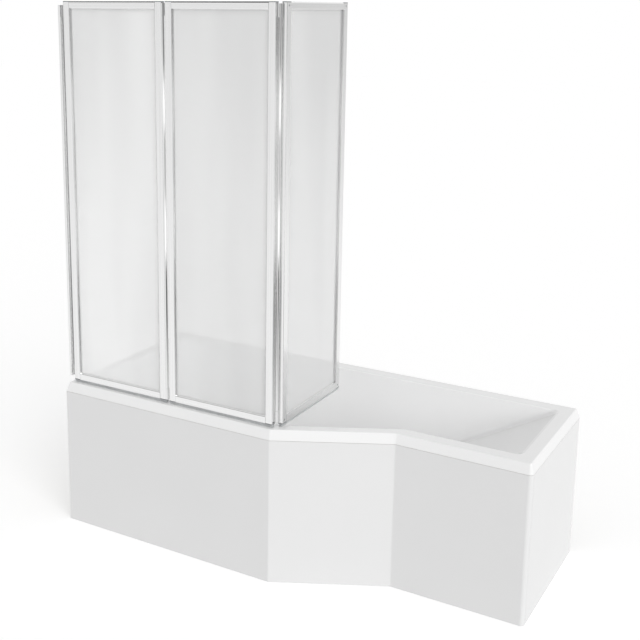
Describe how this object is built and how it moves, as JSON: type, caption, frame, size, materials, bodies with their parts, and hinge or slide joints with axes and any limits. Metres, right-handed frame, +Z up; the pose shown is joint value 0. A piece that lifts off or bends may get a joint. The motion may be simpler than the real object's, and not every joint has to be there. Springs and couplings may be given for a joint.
{
  "type": "p shaped shower bath",
  "caption": "Acrylic shower bath with a wide shower zone, a narrow foot end, panels, and a folding framed glass screen on the front rim.",
  "frame": {"origin": "on the floor under the middle of the bath's plan", "axes": "+X along the bath to its narrow foot end, +Y back to the long wall, +Z up"},
  "size_m": [1.7, 0.75, 1.935],
  "materials": {
    "white_acrylic": "glossy white acrylic",
    "white_panel": "glossy white acrylic panel",
    "chipboard": "raw chipboard",
    "zinc_steel": "zinc plated",
    "foot_steel": "zinc plated rod with pressed pad",
    "chrome": "polished chrome",
    "black_rubber": "matt rubber",
    "white_plastic": "satin moulded plastic",
    "pale_aluminium": "pale satin polished",
    "clear_glass": "clear toughened",
    "grey_gasket": "pale grey soft strip",
    "clear_seal": "translucent pale grey sweep",
    "grey_caps": "pale grey moulded cap",
    "stainless_screws": "stainless steel"
  },
  "bodies": {
    "bath": {"bath_shell": "white_acrylic", "base_board": "chipboard", "leg_rail_left": "zinc_steel", "leg_rail_right": "zinc_steel", "board_screws": "zinc_steel", "end_leg_frame": "zinc_steel", "feet": "foot_steel", "lock_nuts": "zinc_steel", "front_panel": "white_panel", "end_panel": "white_panel", "panel_clips": "zinc_steel", "wall_clips": "zinc_steel", "waste_flange": "chrome", "waste_gasket": "black_rubber", "waste_back_nut": "white_plastic", "trap_nut": "white_plastic", "trap_body": "white_plastic", "wall_channel": "pale_aluminium", "hinge_post": "pale_aluminium", "wall_hinge_pins": "stainless_screws"},
    "waste_plug": {"waste_plug": "chrome"},
    "wing_1": {"wing_1_hinge_stile": "pale_aluminium", "wing_1_outer_stile": "pale_aluminium", "wing_1_top_rail": "pale_aluminium", "wing_1_bottom_rail": "pale_aluminium", "wing_1_glass": "clear_glass", "wing_1_glazing_gasket": "grey_gasket", "wing_1_bottom_seal": "clear_seal", "wing_1_end_caps": "grey_caps", "wing_1_frame_screws": "stainless_screws"},
    "wing_2": {"wing_2_hinge_stile": "pale_aluminium", "wing_2_outer_stile": "pale_aluminium", "wing_2_top_rail": "pale_aluminium", "wing_2_bottom_rail": "pale_aluminium", "wing_2_glass": "clear_glass", "wing_2_glazing_gasket": "grey_gasket", "wing_2_bottom_seal": "clear_seal", "wing_2_end_caps": "grey_caps", "wing_2_frame_screws": "stainless_screws", "wing_2_hinge_pins": "stainless_screws"},
    "wing_3": {"wing_3_hinge_stile": "pale_aluminium", "wing_3_outer_stile": "pale_aluminium", "wing_3_top_rail": "pale_aluminium", "wing_3_bottom_rail": "pale_aluminium", "wing_3_glass": "clear_glass", "wing_3_glazing_gasket": "grey_gasket", "wing_3_bottom_seal": "clear_seal", "wing_3_end_caps": "grey_caps", "wing_3_frame_screws": "stainless_screws", "wing_3_hinge_pins": "stainless_screws"}
  },
  "joints": [
    {"name": "wing_1_hinge", "type": "hinge", "parent": "bath", "child": "wing_1", "pos_m": [-0.8335, -0.33425, 1.2465], "axis": [0, 0, 1], "range_deg": [0, 90]},
    {"name": "wing_2_hinge", "type": "hinge", "parent": "wing_1", "child": "wing_2", "pos_m": [-0.4015, -0.35375, 1.248], "axis": [0, 0, -1], "range_deg": [0, 180]},
    {"name": "wing_3_hinge", "type": "hinge", "parent": "wing_2", "child": "wing_3", "pos_m": [0.0305, -0.33425, 1.248], "axis": [0, 0, 1], "range_deg": [-90, 90]},
    {"name": "waste_plug_slide", "type": "slide", "parent": "bath", "child": "waste_plug", "axis": [0, 0, 1], "range_m": [0, 0.007]}
  ]
}
